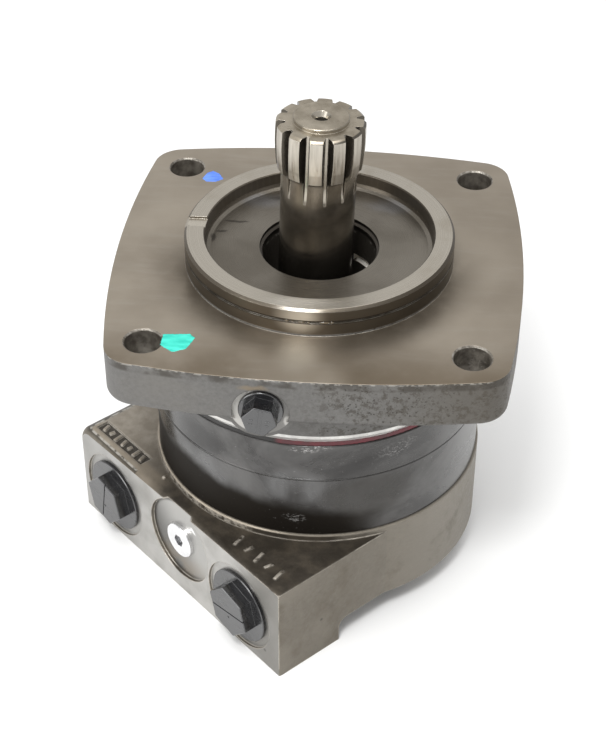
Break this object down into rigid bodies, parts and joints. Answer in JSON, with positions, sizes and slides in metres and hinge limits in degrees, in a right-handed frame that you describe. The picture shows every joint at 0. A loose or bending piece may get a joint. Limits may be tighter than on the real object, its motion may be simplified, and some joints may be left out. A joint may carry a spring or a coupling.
{
  "type": "hydraulic motor",
  "caption": "Bearingless orbit hydraulic motor: square four-bolt flange with pilot, splined drive link, round roller gear set, and an end cover with side ports.",
  "frame": {"origin": "where the pilot's axis meets the mounting face of the flange", "axes": "+Z along the motor axis, out of the mounting face towards the splined head; -Y towards the side of the flange that holds the drain plug"},
  "size_m": [0.1747, 0.1724, 0.1914],
  "materials": {
    "cast_iron_flange": "machined top, as-cast sides, oiled",
    "cast_iron_cover": "as-cast with machined port face",
    "black_paint": "thin glossy dark paint over steel",
    "drive_steel": "heat-treated, ground tooth tips, oiled",
    "hardened_steel": "ground",
    "ground_steel": "ground",
    "spring_steel": "drawn wire",
    "zinc_steel": "bright zinc",
    "black_oxide": "black oxide",
    "bronze": "bearing bronze",
    "black_plastic": "moulded, semi-gloss",
    "red_rubber": "moulded rubber",
    "black_rubber": "moulded rubber"
  },
  "bodies": {
    "housing": {"mounting_flange": "cast_iron_flange", "wear_plate": "ground_steel", "body_seal_front": "red_rubber", "stator_ring": "black_paint", "body_seal_middle": "red_rubber", "valve_housing": "black_paint", "manifold_plate": "ground_steel", "commutator_ring": "ground_steel", "body_seal_rear": "red_rubber", "end_cover": "cast_iron_cover", "assembly_bolts": "black_oxide", "bolt_washers": "zinc_steel", "alignment_dowels": "hardened_steel", "check_plug": "zinc_steel", "check_plug_seal": "black_rubber", "check_spring": "spring_steel"},
    "commutator": {"commutator": "hardened_steel", "commutator_bushing": "bronze", "commutator_seal": "black_plastic"},
    "rotor": {"rotor": "hardened_steel"},
    "drive_link": {"drive_link": "drive_steel"},
    "port_plug_a": {"port_plug_a": "black_plastic"},
    "port_plug_b": {"port_plug_b": "black_plastic"},
    "drain_plug": {"drain_plug": "black_plastic"},
    "check_ball": {"check_ball": "hardened_steel"},
    "roller_1": {"roller_1": "hardened_steel"},
    "roller_2": {"roller_2": "hardened_steel"},
    "roller_3": {"roller_3": "hardened_steel"},
    "roller_4": {"roller_4": "hardened_steel"},
    "roller_5": {"roller_5": "hardened_steel"},
    "roller_6": {"roller_6": "hardened_steel"},
    "roller_7": {"roller_7": "hardened_steel"}
  },
  "joints": [
    {"name": "rotor_orbit", "type": "hinge", "parent": "housing", "child": "commutator", "pos_m": [0, 0, -0.0762], "axis": [0, 0, 1], "continuous": true},
    {"name": "rotor_spin", "type": "hinge", "parent": "commutator", "child": "rotor", "pos_m": [-0.003, 0, -0.0484], "axis": [0, 0, 1], "continuous": true},
    {"name": "drive_spin", "type": "hinge", "parent": "commutator", "child": "drive_link", "pos_m": [0, 0, 0.0507], "axis": [0.0303, 0, 0.9995], "continuous": true},
    {"name": "roller_1_roll", "type": "hinge", "parent": "housing", "child": "roller_1", "pos_m": [-0.02687, -0.02687, -0.0484], "axis": [0, 0, 1], "continuous": true},
    {"name": "roller_2_roll", "type": "hinge", "parent": "housing", "child": "roller_2", "pos_m": [0.00425, -0.03776, -0.0484], "axis": [0, 0, 1], "continuous": true},
    {"name": "roller_3_roll", "type": "hinge", "parent": "housing", "child": "roller_3", "pos_m": [0.03218, -0.02022, -0.0484], "axis": [0, 0, 1], "continuous": true},
    {"name": "roller_4_roll", "type": "hinge", "parent": "housing", "child": "roller_4", "pos_m": [0.03587, 0.01255, -0.0484], "axis": [0, 0, 1], "continuous": true},
    {"name": "roller_5_roll", "type": "hinge", "parent": "housing", "child": "roller_5", "pos_m": [0.01255, 0.03587, -0.0484], "axis": [0, 0, 1], "continuous": true},
    {"name": "roller_6_roll", "type": "hinge", "parent": "housing", "child": "roller_6", "pos_m": [-0.02022, 0.03218, -0.0484], "axis": [0, 0, 1], "continuous": true},
    {"name": "roller_7_roll", "type": "hinge", "parent": "housing", "child": "roller_7", "pos_m": [-0.03776, 0.00425, -0.0484], "axis": [0, 0, 1], "continuous": true},
    {"name": "port_plug_a_out", "type": "slide", "parent": "housing", "child": "port_plug_a", "axis": [-0.7071, -0.7071, 0], "range_m": [0, 0.02]},
    {"name": "port_plug_b_out", "type": "slide", "parent": "housing", "child": "port_plug_b", "axis": [-0.7071, -0.7071, 0], "range_m": [0, 0.02]},
    {"name": "drain_plug_out", "type": "slide", "parent": "housing", "child": "drain_plug", "axis": [0, -1, 0], "range_m": [0, 0.014]},
    {"name": "check_ball_lift", "type": "slide", "parent": "housing", "child": "check_ball", "axis": [-0.7071, -0.7071, 0], "range_m": [0, 0.0015], "stiffness_N_per_m": 400, "springref_m": -0.001, "deforming": ["check_spring"]}
  ],
  "couplings": [
    {"joint": "rotor_spin", "follows": "rotor_orbit", "ratio": -1.1667},
    {"joint": "drive_spin", "follows": "rotor_orbit", "ratio": -1.1667},
    {"joint": "roller_1_roll", "follows": "rotor_orbit", "ratio": 0.7427},
    {"joint": "roller_2_roll", "follows": "rotor_orbit", "ratio": 0.7427},
    {"joint": "roller_3_roll", "follows": "rotor_orbit", "ratio": 0.7427},
    {"joint": "roller_4_roll", "follows": "rotor_orbit", "ratio": 0.7427},
    {"joint": "roller_5_roll", "follows": "rotor_orbit", "ratio": 0.7427},
    {"joint": "roller_6_roll", "follows": "rotor_orbit", "ratio": 0.7427},
    {"joint": "roller_7_roll", "follows": "rotor_orbit", "ratio": 0.7427}
  ]
}
